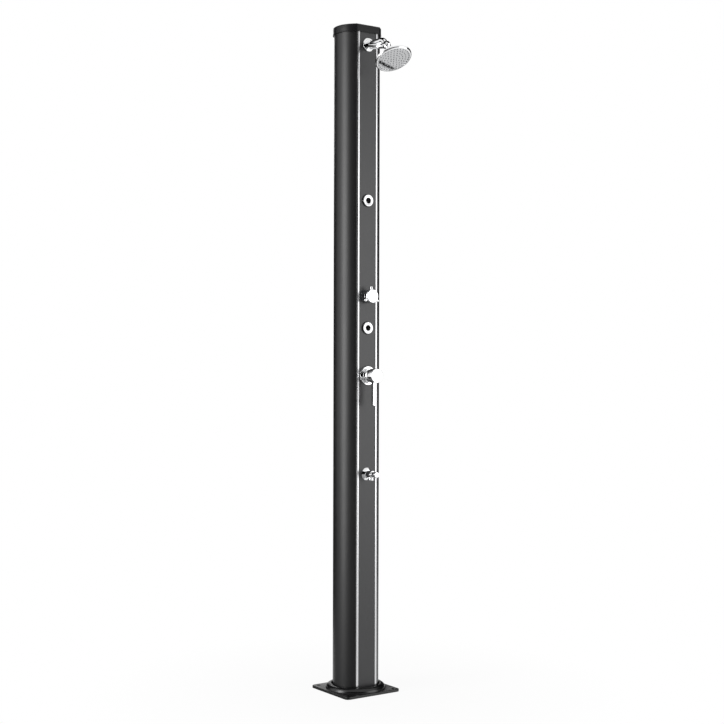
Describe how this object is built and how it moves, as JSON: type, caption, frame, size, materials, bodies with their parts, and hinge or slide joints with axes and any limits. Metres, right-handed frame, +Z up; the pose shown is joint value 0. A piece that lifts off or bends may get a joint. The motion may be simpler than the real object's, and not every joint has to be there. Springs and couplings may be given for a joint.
{
  "type": "outdoor shower post",
  "caption": "Round-backed outdoor shower post with a water tank inside, overhead shower on a bent arm, body jets, diverter, single-lever mixer and foot tap.",
  "frame": {"origin": "centre of the four anchor holes on the underside of the base flange", "axes": "+Z up the post, -Y out of the flat front panel, +Y to the round back with the hose inlet"},
  "size_m": [0.212, 0.3778, 2.17],
  "materials": {
    "shell_paint": "satin charcoal powder coat",
    "panel_paint": "satin charcoal, brushed lengthways",
    "base_black": "gloss black",
    "cap_black": "semi-gloss black",
    "strip_chrome": "bright polished",
    "steel_screw": "plain",
    "plug_plastic": "matte",
    "pipe_cold": "matte",
    "pipe_hot": "matte",
    "rubber_black": "matte",
    "brass": "machined",
    "chrome": "polished",
    "head_chrome": "chrome plated",
    "face_grey": "semi-gloss light grey",
    "nozzle_rubber": "matte grey",
    "white_plastic": "matte"
  },
  "bodies": {
    "post": {"base_flange": "base_black", "base_screws": "steel_screw", "foot_plug": "plug_plastic", "rear_shell": "shell_paint", "front_panel": "panel_paint", "trim_strip_left": "strip_chrome", "trim_strip_right": "strip_chrome", "top_cap": "cap_black", "tank_body": "plug_plastic", "tank_top_lid": "plug_plastic", "tank_bottom_lid": "plug_plastic", "inlet_washer": "rubber_black", "inlet_union": "brass", "hose_nipple": "brass", "inlet_tee": "brass", "tank_feed_pipe": "pipe_cold", "cold_riser_lower": "pipe_cold", "cold_riser_upper": "pipe_cold", "hot_pipe": "pipe_hot", "mixed_riser": "pipe_hot", "head_riser": "pipe_hot", "jet_pipe": "pipe_hot", "arm_elbow": "brass", "arm_escutcheon": "chrome", "shower_arm": "chrome", "ball_stem": "chrome", "lock_nuts": "brass", "jet_gaskets": "rubber_black", "jet_nuts": "brass", "upper_jet_body": "brass", "upper_jet_ring": "chrome", "lower_jet_body": "brass", "lower_jet_ring": "chrome", "diverter_body": "brass", "diverter_rosette": "chrome", "mixer_body": "brass", "mixer_cartridge": "white_plastic", "mixer_rosette": "chrome", "mixer_cap_nut": "brass", "mixer_sleeve": "chrome", "tap_tee": "brass", "tap_body": "chrome", "tap_rosette": "chrome"},
    "head_seat": {"head_seat": "white_plastic"},
    "shower_head": {"collar_nut": "chrome", "head_shell": "head_chrome", "head_face": "face_grey", "head_nozzles": "nozzle_rubber"},
    "mixer_turret": {"mixer_turret": "white_plastic"},
    "mixer_handle": {"mixer_stem": "brass", "mixer_handle": "chrome", "mixer_lever": "chrome", "handle_screw": "steel_screw"},
    "diverter_knob": {"diverter_spindle": "brass", "diverter_knob": "chrome"},
    "tap_knob": {"tap_knob": "chrome"},
    "upper_jet_race": {"upper_jet_race": "white_plastic"},
    "upper_jet_ball": {"upper_jet_ball": "chrome"},
    "lower_jet_race": {"lower_jet_race": "white_plastic"},
    "lower_jet_ball": {"lower_jet_ball": "chrome"}
  },
  "joints": [
    {"name": "head_swivel", "type": "hinge", "parent": "post", "child": "head_seat", "pos_m": [0, -0.18502, 2.06598], "axis": [0, -0.7071, -0.7071], "continuous": true},
    {"name": "head_tilt", "type": "hinge", "parent": "head_seat", "child": "shower_head", "pos_m": [0, -0.18502, 2.06598], "axis": [1, 0, 0], "range_deg": [-35, 4]},
    {"name": "mixer_turn", "type": "hinge", "parent": "post", "child": "mixer_turret", "pos_m": [0, -0.0775, 1.032], "axis": [0, -1, 0], "range_deg": [-45, 45]},
    {"name": "mixer_lift", "type": "hinge", "parent": "mixer_turret", "child": "mixer_handle", "pos_m": [0, -0.0775, 1.032], "axis": [-1, 0, 0], "range_deg": [0, 24]},
    {"name": "diverter_turn", "type": "hinge", "parent": "post", "child": "diverter_knob", "pos_m": [0, -0.0855, 1.2895], "axis": [0, -1, 0], "range_deg": [-90, 90]},
    {"name": "tap_turn", "type": "hinge", "parent": "post", "child": "tap_knob", "pos_m": [0, -0.1085, 0.7125], "axis": [0, -1, 0], "range_deg": [0, 90]},
    {"name": "upper_jet_pan", "type": "hinge", "parent": "post", "child": "upper_jet_race", "pos_m": [0, -0.055, 1.6005], "axis": [0, 0, 1], "range_deg": [-12, 12]},
    {"name": "upper_jet_tilt", "type": "hinge", "parent": "upper_jet_race", "child": "upper_jet_ball", "pos_m": [0, -0.055, 1.6005], "axis": [1, 0, 0], "range_deg": [-12, 12]},
    {"name": "lower_jet_pan", "type": "hinge", "parent": "post", "child": "lower_jet_race", "pos_m": [0, -0.055, 1.187], "axis": [0, 0, 1], "range_deg": [-12, 12]},
    {"name": "lower_jet_tilt", "type": "hinge", "parent": "lower_jet_race", "child": "lower_jet_ball", "pos_m": [0, -0.055, 1.187], "axis": [1, 0, 0], "range_deg": [-12, 12]}
  ]
}
